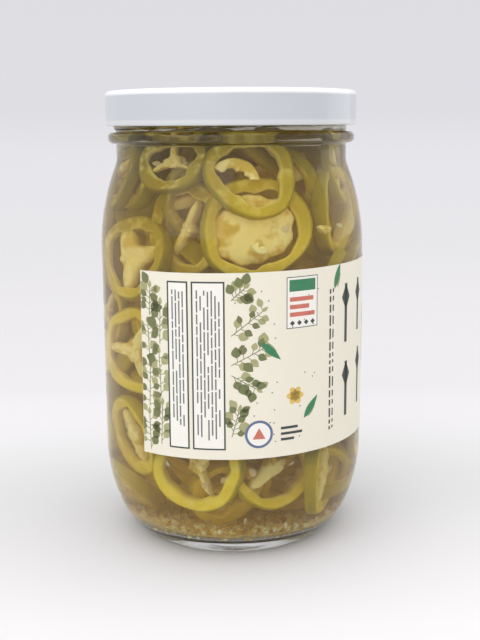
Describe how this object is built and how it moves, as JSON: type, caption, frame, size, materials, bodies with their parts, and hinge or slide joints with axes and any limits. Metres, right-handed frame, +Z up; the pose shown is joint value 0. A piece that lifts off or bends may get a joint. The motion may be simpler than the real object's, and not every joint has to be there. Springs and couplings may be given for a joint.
{
  "type": "jar of pickled jalapenos",
  "caption": "Wide-mouth glass jar filled with pickled green pepper rings in brine, with a wrap label and a white screw lid.",
  "frame": {"origin": "middle of the ring that the jar stands on, at the ring's lowest plane", "axes": "+Z up along the jar's axis, -Y towards the front of the label, +X to its right"},
  "size_m": [0.0972, 0.0974, 0.1635],
  "materials": {
    "glass": "clear, smooth",
    "brine": "clear olive-gold liquid",
    "label_paper": "matt coated",
    "label_print": "printed ink",
    "lid_enamel": "glossy white enamel",
    "seal": "satin",
    "pepper": "wet, slightly translucent",
    "spice": "wet crumbs"
  },
  "bodies": {
    "root": {"jar": "glass", "brine": "brine", "label": "label_paper", "lid": "lid_enamel", "seal": "seal"}
  },
  "joints": []
}
